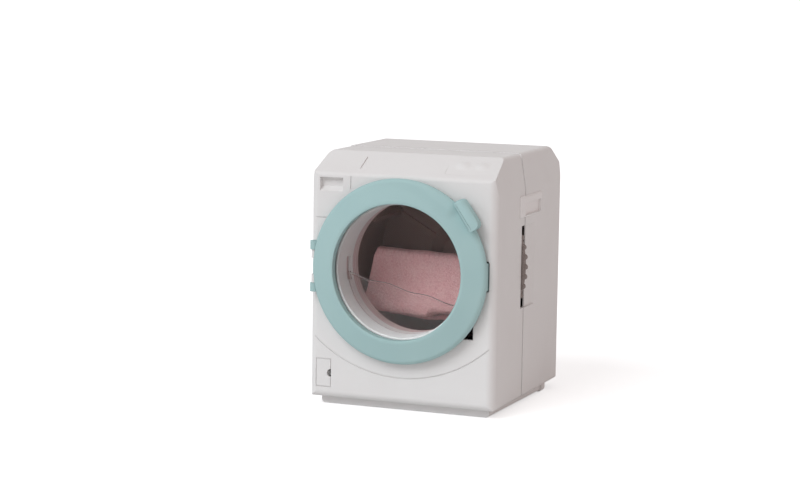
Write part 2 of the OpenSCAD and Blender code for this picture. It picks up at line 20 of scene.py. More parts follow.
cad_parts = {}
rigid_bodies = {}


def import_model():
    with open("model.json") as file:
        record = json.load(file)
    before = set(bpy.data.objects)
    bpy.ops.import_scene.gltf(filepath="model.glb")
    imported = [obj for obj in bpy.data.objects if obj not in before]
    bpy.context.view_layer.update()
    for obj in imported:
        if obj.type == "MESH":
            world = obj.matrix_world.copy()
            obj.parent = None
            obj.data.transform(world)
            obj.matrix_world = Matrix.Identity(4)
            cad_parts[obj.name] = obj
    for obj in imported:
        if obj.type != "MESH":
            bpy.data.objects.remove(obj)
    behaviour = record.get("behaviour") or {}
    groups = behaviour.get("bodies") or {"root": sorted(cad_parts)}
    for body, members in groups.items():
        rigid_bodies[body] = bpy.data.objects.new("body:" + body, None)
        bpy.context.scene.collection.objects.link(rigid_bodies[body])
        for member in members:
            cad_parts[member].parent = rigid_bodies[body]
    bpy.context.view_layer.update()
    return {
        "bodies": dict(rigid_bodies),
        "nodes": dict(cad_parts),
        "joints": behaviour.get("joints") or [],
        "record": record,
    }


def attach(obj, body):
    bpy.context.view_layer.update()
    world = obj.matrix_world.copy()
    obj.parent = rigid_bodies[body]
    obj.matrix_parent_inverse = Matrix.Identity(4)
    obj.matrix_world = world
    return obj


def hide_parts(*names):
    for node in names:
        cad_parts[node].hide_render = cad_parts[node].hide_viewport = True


MM = 0.001
LOG = logging.getLogger("toy_washer")
SKIN = "moulded_skin"


class Body(Enum):
    """The bodies that pieces move with."""

    CASING = "casing"
    DOOR = "door"
    DRUM = "drum"


class Slot(Enum):
    """The record's material slots."""

    WHITE_BODY = "white_body"
    WHITE_TRIM = "white_trim"
    MINT_DOOR = "mint_door"
    CLEAR_WINDOW = "clear_window"
    CLEAR_WATER = "clear_water"
    GREY_DRUM = "grey_drum"
    PEARL_DRUM = "pearl_drum"
    STEEL = "steel"
    PINK_TERRY = "pink_terry"


@dataclass(frozen=True)
class Layout:
    """Where the toy stands, in millimetres from the front panel and the drum's axis."""

    mid_depth: float = 46.75
    axis_height: float = 72.2

    def point(self, x: float, depth: float, z: float) -> Vector:
        """Gives a place in the scene.

        Args:
            x: Distance to the right of the middle, in millimetres.
            depth: Distance behind the front panel, in millimetres.
            z: Height above the drum's axis, in millimetres.

        Returns:
            The place in metres.
        """
        return Vector((x, depth - self.mid_depth, z + self.axis_height)) * MM

    def axis(self) -> Vector:
        """Gives the middle of the door on the front panel."""
        return self.point(0, 0, 0)


LAYOUT = Layout()


# ---- mesh helpers ----


def make_piece(bm: BMesh, name: str, sharp_deg: float = 35) -> Object:
    """Turns a finished bmesh into an object with soft shading between its sharp edges.

    Args:
        bm: The mesh; it is freed.
        name: The object's name.
        sharp_deg: Edges that turn more than this stay sharp.

    Returns:
        The new object, linked to the scene.
    """
    mesh = bpy.data.meshes.new(name)
    bm.to_mesh(mesh)
    bm.free()
    mesh.shade_smooth()
    mesh.set_sharp_from_angle(angle=math.radians(sharp_deg))
    piece = bpy.data.objects.new(name, mesh)
    bpy.context.scene.collection.objects.link(piece)
    return piece


def close_up(bm: BMesh, distance: float = 0.01 * MM) -> None:
    """Merges doubles and turns every face outwards.

    Args:
        bm: The mesh to close.
        distance: Points nearer than this are merged.
    """
    bmesh.ops.remove_doubles(bm, verts=bm.verts, dist=distance)
    bmesh.ops.recalc_face_normals(bm, faces=bm.faces)


def bevel_edges(bm: BMesh, edges: Iterable[BMEdge], width: float, segments: int) -> None:
    """Rounds edges.

    Args:
        bm: The mesh that the edges belong to.
        edges: The edges to round.
        width: The rounding's width, in millimetres.
        segments: How many facets the rounding has.
    """
    bmesh.ops.bevel(
        bm,
        geom=list(edges),
        offset=width * MM,
        offset_type="OFFSET",
        segments=segments,
        profile=0.5,
        affect="EDGES",
        clamp_overlap=True,
        material=-1,
    )


def spin_round(bm: BMesh, steps: int) -> None:
    """Spins all points and edges of a mesh once round the drum's axis.

    Args:
        bm: The mesh, so far a line.
        steps: How many steps make the full turn.
    """
    bmesh.ops.spin(
        bm,
        geom=list(bm.verts) + list(bm.edges),
        cent=LAYOUT.axis(),
        axis=(0, 1, 0),
        angle=2 * math.pi,
        steps=steps,
        use_merge=True,
        use_duplicate=False,
    )


def set_round_axis(bm: BMesh, angle: float) -> None:
    """Turns a mesh from the origin's right to its place round the drum's axis.

    Args:
        bm: The mesh.
        angle: Its place, in degrees upwards from the right.
    """
    turn = Matrix.Rotation(math.radians(-angle), 3, "Y")
    bmesh.ops.rotate(bm, cent=(0, 0, 0), matrix=turn, verts=bm.verts)
    bmesh.ops.translate(bm, vec=LAYOUT.axis(), verts=bm.verts)


def spin_profile(
    profile: list[tuple[float, float, float]], steps: int, bevel_segments: int = 4
) -> BMesh:
    """Spins a closed profile round the drum's axis and rounds its corners.

    Args:
        profile: Corners as radius, depth and rounding, in millimetres.
        steps: How many steps make the full turn.
        bevel_segments: How many facets each rounding has.

    Returns:
        The closed mesh.
    """
    bm = bmesh.new()
    verts = [bm.verts.new(LAYOUT.point(r, depth, 0)) for r, depth, _ in profile]
    for pair in zip(verts, verts[1:] + verts[:1]):
        bm.edges.new(pair)
    spin_round(bm, steps)
    close_up(bm)
    for radius, depth, rounding in profile:
        if rounding:
            bevel_edges(bm, hoop_edges(bm, radius, depth), rounding, bevel_segments)
    bmesh.ops.recalc_face_normals(bm, faces=bm.faces)
    return bm


def radius_depth(co: Vector) -> tuple[float, float]:
    """Gives a point's distance from the drum's axis and behind the panel, in millimetres."""
    away = (co - LAYOUT.axis()) / MM
    return math.hypot(away.x, away.z), away.y


def hoop_edges(bm: BMesh, radius: float, depth: float) -> list[BMEdge]:
    """Finds the edges that run round the axis at one corner of a spun profile.

    Args:
        bm: The spun mesh.
        radius: The corner's radius, in millimetres.
        depth: The corner's depth, in millimetres.

    Returns:
        The edges of that hoop.
    """
    tolerance = 0.02

    def on_hoop(vert: BMVert) -> bool:
        """Says whether a point is on the hoop."""
        r, y = radius_depth(vert.co)
        return abs(r - radius) < tolerance and abs(y - depth) < tolerance

    return [edge for edge in bm.edges if all(on_hoop(vert) for vert in edge.verts)]


def boolean(piece: Object, tool: Object, operation: str) -> None:
    """Joins or cuts a piece with a tool, which is then removed.

    Args:
        piece: The object that is changed.
        tool: The object that joins or cuts it.
        operation: UNION or DIFFERENCE.
    """
    modifier = piece.modifiers.new("cut", "BOOLEAN")
    modifier.operation = operation
    modifier.solver = "MANIFOLD"
    modifier.object = tool
    graph = bpy.context.evaluated_depsgraph_get()
    mesh = bpy.data.meshes.new_from_object(piece.evaluated_get(graph))
    piece.modifiers.remove(modifier)
    old = piece.data
    piece.data = mesh
    mesh.name = piece.name
    bpy.data.meshes.remove(old)
    bpy.data.objects.remove(tool)


def tidy_mesh(piece: Object, sharp_deg: float) -> None:
    """Merges what a boolean left and renews the shading.

    Args:
        piece: The object whose mesh is tidied.
        sharp_deg: Edges that turn more than this stay sharp.
    """
    bm = bmesh.new()
    bm.from_mesh(piece.data)
    bmesh.ops.remove_doubles(bm, verts=bm.verts, dist=0.005 * MM)
    bmesh.ops.dissolve_degenerate(bm, dist=0.003 * MM, edges=bm.edges)
    bm.to_mesh(piece.data)
    bm.free()
    piece.data.shade_smooth()
    piece.data.set_sharp_from_angle(angle=math.radians(sharp_deg))


def smooth_step(low: float, high: float, value: float) -> float:
    """Rises smoothly from 0 at low to 1 at high."""
    t = min(max((value - low) / (high - low), 0), 1)
    return t * t * (3 - 2 * t)


def between(points: Sequence[tuple[float, float]], x: float) -> float:
    """Reads a broken line at x.

    Args:
        points: The line's corners, by rising x.
        x: Where to read it.

    Returns:
        The line's height there.
    """
    if x <= points[0][0]:
        return points[0][1]
    for (x0, y0), (x1, y1) in zip(points, points[1:]):
        if x <= x1:
            return y0 + (y1 - y0) * (x - x0) / (x1 - x0)
    return points[-1][1]


# ---- material helpers ----

Paint = NodeSocket | tuple[float, ...]


class Wiring:
    """A node tree that is being wired up."""

    def __init__(self, tree: NodeTree) -> None:
        """Takes the tree to wire."""
        self.tree = tree

    def add(self, kind: str, props: dict | None = None, **values: object) -> Node:
        """Adds a node.

        Args:
            kind: The node's type, without the leading ShaderNode.
            props: Settings of the node.
            **values: Its input values, or sockets to link to them, by name with underscores.

        Returns:
            The node.
        """
        node = self.tree.nodes.new("ShaderNode" + kind)
        for key, value in (props or {}).items():
            setattr(node, key, value)
        for key, value in values.items():
            self.put(node.inputs[key.replace("_", " ")], value)
        return node

    def put(self, socket: NodeSocket, value: object) -> None:
        """Links a socket to another one, or sets its value.

        Args:
            socket: The socket.
            value: A socket to link to, a colour of three values, or a number.
        """
        if isinstance(value, NodeSocket):
            self.tree.links.new(value, socket)
        elif socket.type == "RGBA" and len(value) == 3:
            socket.default_value = (*value, 1)
        else:
            socket.default_value = value

    def blend(self, mask: NodeSocket, first: Paint, second: Paint) -> NodeSocket:
        """Mixes two colours by a mask.

        Args:
            mask: Where the second colour shows.
            first: The colour where the mask is 0.
            second: The colour where the mask is 1.

        Returns:
            The mixed colour.
        """
        node = self.add("Mix", {"data_type": "RGBA"})
        # The first inputs and outputs belong to the node's other data types.
        for index, value in ((0, mask), (6, first), (7, second)):
            self.put(node.inputs[index], value)
        return node.outputs[2]

    def reckon(self, operation: str, first: NodeSocket, second: NodeSocket | float) -> NodeSocket:
        """Does a sum with two values.

        Args:
            operation: The sum, by the node's own name for it.
            first: The first value.
            second: The second value.

        Returns:
            The result.
        """
        node = self.add("Math", {"operation": operation})
        self.put(node.inputs[0], first)
        self.put(node.inputs[1], second)
        return node.outputs[0]

    def either(self, mask: NodeSocket, first: Node, second: Node) -> Node:
        """Shows one shader or another by a mask.

        Args:
            mask: Where the second shader shows.
            first: The shader where the mask is 0.
            second: The shader where the mask is 1.

        Returns:
            The mixing node.
        """
        node = self.add("MixShader")
        for socket, value in zip(node.inputs, (mask, first.outputs[0], second.outputs[0])):
            self.put(socket, value)
        return node

    def show(self, shader: Node, kind: str = "OutputMaterial") -> None:
        """Makes a shader the tree's surface."""
        self.put(self.add(kind).inputs["Surface"], shader.outputs[0])

    def span(
        self, value: NodeSocket, low: float, high: float, start: float = 0, end: float = 1
    ) -> NodeSocket:
        """Spreads a value over a range.

        Args:
            value: The value.
            low: What start becomes.
            high: What end becomes.
            start: The value where the spread starts.
            end: The value where it ends.

        Returns:
            The spread value.
        """
        ends = {"From_Min": start, "From_Max": end, "To_Min": low, "To_Max": high}
        return self.add("MapRange", Value=value, **ends).outputs[0]

    def bump(
        self,
        height: NodeSocket,
        depth_mm: float,
        strength: float = 1,
        normal: NodeSocket | None = None,
    ) -> NodeSocket:
        """Makes a bumped normal of a height from 0 to 1.

        Args:
            height: The height.
            depth_mm: The bump's full depth, in millimetres.
            strength: How much of it shows.
            normal: The normal that the bump is laid on, if not the surface's own.

        Returns:
            The normal.
        """
        node = self.add("Bump", Height=height, Strength=strength, Distance=depth_mm * MM)
        if normal:
            self.put(node.inputs["Normal"], normal)
        return node.outputs["Normal"]


def new_group(name: str, inputs: dict[str, float], outputs: list[str]) -> Wiring:
    """Starts a shader node group that puts out values only.

    Args:
        name: The group's name.
        inputs: Its input names and their usual values.
        outputs: Its output names.

    Returns:
        The group's wiring, with an input and an output node named in and out.
    """
    tree = bpy.data.node_groups.new(name, "ShaderNodeTree")
    for key, value in inputs.items():
        socket = tree.interface.new_socket(key, in_out="INPUT", socket_type="NodeSocketFloat")
        socket.default_value = value
    for key in outputs:
        tree.interface.new_socket(key, in_out="OUTPUT", socket_type="NodeSocketFloat")
    tree.nodes.new("NodeGroupInput").name = "in"
    tree.nodes.new("NodeGroupOutput").name = "out"
    return Wiring(tree)


def new_material(name: str) -> tuple[Material, Wiring]:
    """Starts a material with nothing in it.

    Args:
        name: The material's name.

    Returns:
        The material and its wiring.
    """
    material = bpy.data.materials.new(name)
    material.use_nodes = True
    material.node_tree.nodes.clear()
    return material, Wiring(material.node_tree)


def skin_group() -> NodeTree:
    """Builds the skin of moulded plastic: broad flow marks, fine grain, and patches of haze.

    Returns:
        The group.
    """
    haze_fineness = 7
    w = new_group(SKIN, {"Flow Scale": 30, "Grain Scale": 2600}, ["Flow", "Grain", "Haze"])
    inlet, outlet = w.tree.nodes["in"], w.tree.nodes["out"]
    here = w.add("TexCoord").outputs["Object"]
    flow = w.add("TexNoise", Vector=here, Scale=inlet.outputs[0], Detail=3.0, Distortion=0.6)
    grain = w.add("TexNoise", Vector=here, Scale=inlet.outputs[1], Detail=2.0)
    closer = w.reckon("MULTIPLY", inlet.outputs[0], haze_fineness)
    haze = w.add("TexNoise", Vector=here, Scale=closer, Detail=5.0, Roughness=0.7)
    for index, node in enumerate((flow, grain, haze)):
        w.put(outlet.inputs[index], w.span(node.outputs[0], 0, 1, 0.3, 0.7))
    return w.tree


def pile_group() -> NodeTree:
    """Builds terry pile: small loops that follow the cloth, with tufts out of line.

    Returns:
        The group.
    """
    w = new_group("terry_pile", {"Loop Scale": 1250, "Patch Scale": 160}, ["Loops", "Patches"])
    inlet, outlet = w.tree.nodes["in"], w.tree.nodes["out"]
    cloth = w.add("TexCoord").outputs["UV"]
    stray = w.add("TexNoise", Vector=cloth, Scale=900.0, Detail=2.0)
    pull = w.add("VectorMath", {"operation": "SCALE"}, Vector=stray.outputs["Color"], Scale=0.0004)
    moved = w.add("VectorMath", {"operation": "ADD"})
    w.put(moved.inputs[0], cloth)
    w.put(moved.inputs[1], pull.outputs[0])
    loops = w.add(
        "TexVoronoi",
        {"feature": "SMOOTH_F1"},
        Vector=moved.outputs[0],
        Scale=inlet.outputs[0],
        Randomness=0.85,
    )
    patches = w.add("TexNoise", Vector=cloth, Scale=inlet.outputs[1], Detail=4.0)
    w.put(outlet.inputs[0], w.span(loops.outputs[0], 1, 0, 0, 0.8))
    w.put(outlet.inputs[1], w.span(patches.outputs[0], 0, 1, 0.3, 0.7))
    return w.tree


@dataclass(frozen=True)
class MouldedPlastic:
    """Satin moulded plastic with faint flow marks and a fine grain."""

    name: str
    colour: tuple[float, float, float]
    flow_colour: tuple[float, float, float]
    roughness: tuple[float, float] = (0.36, 0.46)
    flow_scale: float = 30
    grain_scale: float = 2600
    grain_mm: float = 0.006
    gloss: tuple[float, float] = (0.08, 0.12)
    gloss_roughness: float = 0.36
    edge_mm: float = 0.35
    ring_scale: float = 0
    # Colour of the thin pale rings round the axis: painted highlights.
    highlight_line_colour: tuple[float, float, float] = (1, 0.94, 0.93)

    def material(self, skin: NodeTree) -> Material:
        """Makes the material.

        Args:
            skin: The group of moulded skin.

        Returns:
            The material.
        """
        material, w = new_material(self.name)
        detail = w.add(
            "Group", {"node_tree": skin}, Flow_Scale=self.flow_scale, Grain_Scale=self.grain_scale
        )
        eased = w.add("Bevel", {"samples": 6}, Radius=self.edge_mm * MM).outputs["Normal"]
        colour = w.blend(detail.outputs["Flow"], self.colour, self.flow_colour)
        # Thin pale rings, painted highlights, where ring_scale is set.
        if self.ring_scale:
            colour = self.with_highlight_rings(w, colour)
        shader = w.add(
            "BsdfPrincipled",
            Base_Color=colour,
            Roughness=w.span(detail.outputs["Haze"], *self.roughness),
            Normal=w.bump(detail.outputs["Grain"], self.grain_mm, 1, eased),
            Specular_IOR_Level=0.0,
            Coat_Weight=w.span(detail.outputs["Haze"], *self.gloss),
            Coat_Roughness=self.gloss_roughness,
        )
        w.show(shader)
        return material

    def with_highlight_rings(self, w: Wiring, colour: NodeSocket) -> NodeSocket:
        """Lays thin pale lines round the drum's axis over a colour: painted highlights of bright
        edges.

        Args:
            w: The wiring of the material.
            colour: The colour under the lines.

        Returns:
            The colour with its lines.
        """
        here = w.add("TexCoord").outputs["Object"]
        waves = w.add("TexWave", {"bands_direction": "Y"}, Vector=here, Scale=self.ring_scale)
        thin = w.span(waves.outputs[0], 0, 0.6, 0.8, 0.98)
        return w.blend(thin, colour, self.highlight_line_colour)


@dataclass(frozen=True)
class ClearPlastic:
    """Clear polished plastic, through which the lamps' light passes."""

    name: str
    tint: tuple[float, float, float]
    smear_tint: tuple[float, float, float]
    roughness: tuple[float, float] = (0.03, 0.08)
    ripple_mm: float = 0.01
    ripple_scale: float = 120
    bending: float = 1.2
    shine: float = 0.4
    # Dark tint where the glass is seen edge-on: painted shade.
    grazing_shade_tint: tuple[float, float, float] | None = None

    def material(self, skin: NodeTree) -> Material:
        """Makes the material.

        Args:
            skin: The group of moulded skin, here for ripples and smears.

        Returns:
            The material.
        """
        material, w = new_material(self.name)
        near, wide = self.ripple_scale, self.ripple_scale / 3
        detail = w.add("Group", {"node_tree": skin}, Flow_Scale=near, Grain_Scale=wide)
        tint = w.blend(detail.outputs["Haze"], self.tint, self.smear_tint)
        if self.grazing_shade_tint:
            # The colour darkens where the glass is seen edge-on: painted shade for the dark line
            # along the rim.
            turned = w.add("LayerWeight", Blend=0.5).outputs["Facing"]
            tint = w.blend(w.span(turned, 0, 1, 0.35, 0.8), tint, self.grazing_shade_tint)
        shader = w.add(
            "BsdfPrincipled",
            Base_Color=tint,
            Roughness=w.span(detail.outputs["Haze"], *self.roughness),
            Normal=w.bump(detail.outputs["Flow"], self.ripple_mm),
            IOR=self.bending,
            Specular_IOR_Level=self.shine,
            Transmission_Weight=1.0,
        )
        passing = w.add("BsdfTransparent", Color=self.tint)
        ray = w.add("LightPath")
        w.show(w.either(ray.outputs["Is Shadow Ray"], shader, passing))
        return material


@dataclass(frozen=True)
class ZincSteel:
    """Bright zinc-plated steel with fine turning marks."""

    name: str
    colour: tuple[float, float, float] = (0.6, 0.6, 0.62)
    dull: tuple[float, float, float] = (0.42, 0.41, 0.4)

    def material(self, skin: NodeTree) -> Material:
        """Makes the material.

        Args:
            skin: The group of moulded skin, here for the plating's cloudy patches.

        Returns:
            The material.
        """
        material, w = new_material(self.name)
        detail = w.add("Group", {"node_tree": skin}, Flow_Scale=500.0, Grain_Scale=9000.0)
        shader = w.add(
            "BsdfPrincipled",
            Base_Color=w.blend(detail.outputs["Flow"], self.colour, self.dull),
            Metallic=1.0,
            Roughness=w.span(detail.outputs["Haze"], 0.22, 0.42),
            Normal=w.bump(detail.outputs["Grain"], 0.01),
        )
        w.show(shader)
        return material


@dataclass(frozen=True)
class TerryCloth:
    """Soft terry cloth: loop tops painted lighter over a darker ground, as painted light and
    shade.
    """

    name: str
    # Colour of the loop tops, painted light; the ground colour below is painted shade between the
    # loops.
    lit_loop_colour: tuple[float, float, float]
    shaded_ground_colour: tuple[float, float, float]
    faded_colour: tuple[float, float, float]

    def material(self, pile: NodeTree) -> Material:
        """Makes the material.

        Args:
            pile: The group of terry pile.

        Returns:
            The material.
        """
        material, w = new_material(self.name)
        detail = w.add("Group", {"node_tree": pile})
        # Loop tops painted light, the ground between them painted shade.
        looped = w.blend(detail.outputs["Loops"], self.shaded_ground_colour, self.lit_loop_colour)
        faint = w.span(detail.outputs["Patches"], 0, 0.35)
        shader = w.add(
            "BsdfPrincipled",
            Base_Color=w.blend(faint, looped, self.faded_colour),
            Roughness=w.span(detail.outputs["Patches"], 0.88, 0.98),
            Normal=w.bump(detail.outputs["Loops"], 0.35, 0.9),
            Sheen_Weight=0.35,
            Sheen_Roughness=0.5,
            Sheen_Tint=(1, 0.86, 0.86),
            Specular_IOR_Level=0.2,
        )
        w.show(shader)
        return material


@dataclass(frozen=True)
class Finishes:
    """All the finishes of the toy, by slot."""

    white: MouldedPlastic = MouldedPlastic(
        "white_plastic", (0.80, 0.785, 0.775), (0.82, 0.81, 0.80), (0.38, 0.5)
    )
    # The side grips get a lighter copy of the body's white: painted light on their raised frames.
    lit_trim: MouldedPlastic = MouldedPlastic(
        "lit_white_trim_plastic", (0.87, 0.85, 0.84), (0.89, 0.875, 0.865), (0.34, 0.46)
    )
    mint: MouldedPlastic = MouldedPlastic(
        "mint_plastic", (0.40, 0.575, 0.575), (0.42, 0.595, 0.59), (0.34, 0.46), edge_mm=0.2
    )
    grey: MouldedPlastic = MouldedPlastic(
        "grey_plastic", (0.42, 0.265, 0.235), (0.46, 0.295, 0.26), (0.36, 0.52)
    )
    # The pearl's pale rings round the axis are painted highlights of the bright edges in the
    # drum's mouth.
    pearl: MouldedPlastic = MouldedPlastic(
        "pearl_grey_plastic", (0.60, 0.46, 0.45), (0.63, 0.49, 0.48), (0.36, 0.5), ring_scale=150
    )
    window: ClearPlastic = ClearPlastic("clear_window", (0.98, 0.985, 0.985), (0.97, 0.97, 0.97))
    water: ClearPlastic = ClearPlastic(
        "clear_water",
        (0.98, 0.965, 0.96),
        (0.97, 0.955, 0.95),
        roughness=(0, 0.004),
        ripple_mm=0.001,
        ripple_scale=90,
        bending=1.28,
        shine=0.1,
        # Edge-on darkening of the plate: painted shade along its wavy rim.
        grazing_shade_tint=(0.22, 0.15, 0.15),
    )
    steel: ZincSteel = ZincSteel("zinc_steel")
    # Lighter loop tops over a darker ground: painted light and shade of the pile.
    terry: TerryCloth = TerryCloth(
        "pink_terry", (1, 0.62, 0.62), (0.76, 0.34, 0.36), (1, 0.74, 0.71)
    )

    def build(self) -> dict[Slot, Material]:
        """Makes every material.

        Returns:
            The materials by the slot that they finish.
        """
        skin, pile = skin_group(), pile_group()
        moulded = {
            Slot.WHITE_BODY: self.white,
            Slot.WHITE_TRIM: self.lit_trim,
            Slot.MINT_DOOR: self.mint,
            Slot.GREY_DRUM: self.grey,
            Slot.PEARL_DRUM: self.pearl,
            Slot.CLEAR_WINDOW: self.window,
            Slot.CLEAR_WATER: self.water,
            Slot.STEEL: self.steel,
        }
        made = {slot: finish.material(skin) for slot, finish in moulded.items()}
        made[Slot.PINK_TERRY] = self.terry.material(pile)
        return made


@dataclass
class Workshop:
    """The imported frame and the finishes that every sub-assembly works with."""

    frame: dict
    materials: dict[Slot, Material]

    def dress_node(self, name: str, slot: Slot, own: MouldedPlastic | None = None) -> None:
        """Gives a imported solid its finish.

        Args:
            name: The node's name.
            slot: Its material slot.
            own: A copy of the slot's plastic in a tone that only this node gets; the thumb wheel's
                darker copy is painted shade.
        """
        node = self.frame["nodes"][name]
        finish = own.material(bpy.data.node_groups[SKIN]) if own else self.materials[slot]
        for place in node.material_slots:
            place.material = finish
        LOG.info("dressed %s as %s", name, slot.value)

    def set_piece(self, piece: Object, body: Body, slot: Slot, replaces: str) -> None:
        """Gives a new piece its finish and its body.

        Args:
            piece: The new piece.
            body: The body that it moves with.
            slot: Its material slot.
            replaces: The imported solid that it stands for.
        """
        piece.data.materials.clear()
        piece.data.materials.append(self.materials[slot])
        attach(piece, body.value)
        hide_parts(replaces)
        LOG.info("set %s on the %s, %d points", piece.name, body.value, len(piece.data.vertices))


# ---- sub-assemblies ----


@dataclass
class Casing:
    """The two shells, the base plate, the side grips and the hardware."""

    workshop: Workshop
    screw_count: int = 4

    def build(self) -> None:
        """Dresses the casing's parts."""
        for name in ("front_shell", "rear_shell", "base_plate"):
            self.workshop.dress_node(name, Slot.WHITE_BODY)
        for name in ("side_grip_left", "side_grip_right"):
            self.workshop.dress_node(name, Slot.WHITE_TRIM)
        for name in ("hinge_pin_upper", "hinge_pin_lower"):
            self.workshop.dress_node(name, Slot.STEEL)
        for kind in ("case_screw", "base_screw"):
            for number in range(self.screw_count):
                self.workshop.dress_node(f"{kind}_{number + 1}", Slot.STEEL)


@dataclass
class Door:
    """The dished ring with its pull, the ring behind it, and the window."""

    workshop: Workshop
    steps: int = 288
    window_r: float = 34.4
    lip_r: float = 36
    pocket_r: float = 45.1
    door_r: float = 46.9
    face_slope: float = 0.272
    lip_depth: float = -8.1
    inside_depth: float = -5.9
    seat_depth: float = -4.2
    back_depth: float = -3.2
    pull_angle: float = 35
    pull_mid_r: float = 48.2
    pull_shift: float = 4.4
    pull_size: tuple[float, float] = (5.8, 16.8)
    pull_depth: float = -9.5
    pull_sunk: float = 0.4
    pull_corners: tuple[float, float] = (1.2, 2.6)
    pull_insets: tuple[float, float] = (0.5, 0.9)
    pull_drops: tuple[float, float, float] = (1.5, 0.5, 0)
    pull_tilt: float = 1.0
    hinge: tuple[float, float] = (-46.55, -2.6)
    knuckle_room: float = 2.4
    knuckle_span: tuple[float, float] = (4.0, 13.2)
    fairing_rise: float = 1.3
    fairing_bulge: float = 0.5
    fairing_width: float = 6
    fairing_edge: tuple[tuple[float, float], ...] = ((44, 38), (60, 37.5), (76, 40), (125, 44.5))
    lens_r: float = 37.1
    lens_flat_r: float = 34.9
    lens_dome: float = 0.9
    lens_rows: int = 16
    lens_steps: int = 160

    def ring(self) -> Object:
        """Makes the ring with its fairing, its pull and the room for the knuckles.

        Returns:
            The ring.
        """
        rim_depth = self.lip_depth + self.face_slope * (self.door_r - self.lip_r)
        profile = [
            (self.window_r, self.seat_depth, 0.0),
            (self.window_r, self.lip_depth, 0.45),
            (self.lip_r, self.lip_depth, 0.5),
            (self.door_r, rim_depth, 1.9),
            (self.door_r, self.back_depth, 0.15),
            (self.pocket_r, self.back_depth, 0.1),
            (self.pocket_r, self.seat_depth, 0.0),
            (self.lip_r, self.inside_depth, 0.0),
            (self.lip_r, self.seat_depth, 0.0),
        ]
        bm = spin_profile(profile, self.steps)
        face_edges = [edge for edge in bm.edges if self.spans_face(edge)]
        bmesh.ops.subdivide_edges(bm, edges=face_edges, cuts=14, use_grid_fill=True)
        for vert in bm.verts:
            self.raise_fairing(vert)
        ring = make_piece(bm, "door_ring_soft", 30)
        boolean(ring, self.pull(), "UNION")
        for side in (-1, 1):
            boolean(ring, self.knuckle_cut(side), "DIFFERENCE")
        tidy_mesh(ring, 30)
        return ring

    def spans_face(self, edge: BMEdge) -> bool:
        """Says whether an edge crosses the ring's sloping face from its lip to its rim."""
        (inner, depth), (outer, other) = sorted(radius_depth(vert.co) for vert in edge.verts)
        return max(depth, other) < -5.0 and inner < 37.5 and outer > 43

    def raise_fairing(self, vert: BMVert) -> None:
        """Raises the ring's outer half towards the pull.

        Args:
            vert: A point of the ring, which is moved.
        """
        radius, depth = radius_depth(vert.co)
        if depth > -3.9:
            return
        away = vert.co - LAYOUT.axis()
        angle = math.degrees(math.atan2(away.z, away.x))
        # The rise is full just above the pull and fades out towards the ring's top.
        along = smooth_step(125, 58, angle) * smooth_step(44, 51, angle)
        inner = between(self.fairing_edge, angle)
        across = smooth_step(inner, inner + self.fairing_width, radius)
        vert.co.y -= self.fairing_rise * MM * along * across
        if radius > 44:
            out = Vector((away.x, 0, away.z)).normalized()
            outwards = smooth_step(44, self.door_r, radius)
            vert.co += out * (self.fairing_bulge * MM * along * outwards)

    def pull(self) -> Object:
        """Makes the pull: a bar whose outer side and upper end are eased more than the rest.

        Returns:
            The pull, as a tool to join to the ring.
        """
        width, length = self.pull_size
        foot = self.back_depth - self.pull_sunk
        deep = foot - self.pull_depth
        bm = bmesh.new()
        bmesh.ops.create_cube(bm, size=1)
        bmesh.ops.scale(bm, vec=Vector((width, deep, length)) * MM, verts=bm.verts)
        for side, rounding in zip((-1, 1), self.pull_corners):
            upright = [
                edge
                for edge in bm.edges
                if abs((edge.verts[0].co - edge.verts[1].co).y) > 0.5 * deep * MM
                and all(v.co.x * side > 0.49 * width * MM for v in edge.verts)
            ]
            bevel_edges(bm, upright, rounding, 5)
        bmesh.ops.recalc_face_normals(bm, faces=bm.faces)
        face = min(bm.faces, key=lambda item: item.normal.y)
        loops = []
        for inset in self.pull_insets:
            made = bmesh.ops.inset_region(
                bm, faces=[face], thickness=inset * MM, depth=0, use_even_offset=True
            )
            rim = {vert for item in made["faces"] for vert in item.verts}
            loops.append(rim - set(face.verts))
        loops.append(set(face.verts))
        for loop, drop in zip(loops, self.pull_drops):
            for vert in loop:
                x, z = vert.co.x / MM, vert.co.z / MM
                outer_side = smooth_step(-0.1 * width, 0.3 * width, x)
                upper_end = smooth_step(0.36 * length, 0.44 * length, z)
                lower_end = smooth_step(-0.2 * length, -0.46 * length, z)
                tilt = self.pull_tilt * (x / width + 0.5)
                vert.co.y += (tilt + drop * max(outer_side, upper_end) * (1 - lower_end)) * MM
        middle = Vector((self.pull_mid_r, (foot + self.pull_depth) / 2, self.pull_shift)) * MM
        bmesh.ops.translate(bm, vec=middle, verts=bm.verts)
        set_round_axis(bm, self.pull_angle)
        return make_piece(bm, "pull_tool")

    def knuckle_cut(self, side: int) -> Object:
        """Makes the round tool that clears the ring's rim for a knuckle.

        Args:
            side: 1 for the upper knuckle, -1 for the lower.

        Returns:
            The tool.
        """
        low, high = self.knuckle_span
        bm = bmesh.new()
        bmesh.ops.create_cone(
            bm,
            cap_ends=True,
            segments=48,
            radius1=self.knuckle_room * MM,
            radius2=self.knuckle_room * MM,
            depth=(high - low) * MM,
        )
        middle = LAYOUT.point(self.hinge[0], self.hinge[1], side * (low + high) / 2)
        bmesh.ops.translate(bm, vec=middle, verts=bm.verts)
        return make_piece(bm, "knuckle_tool")

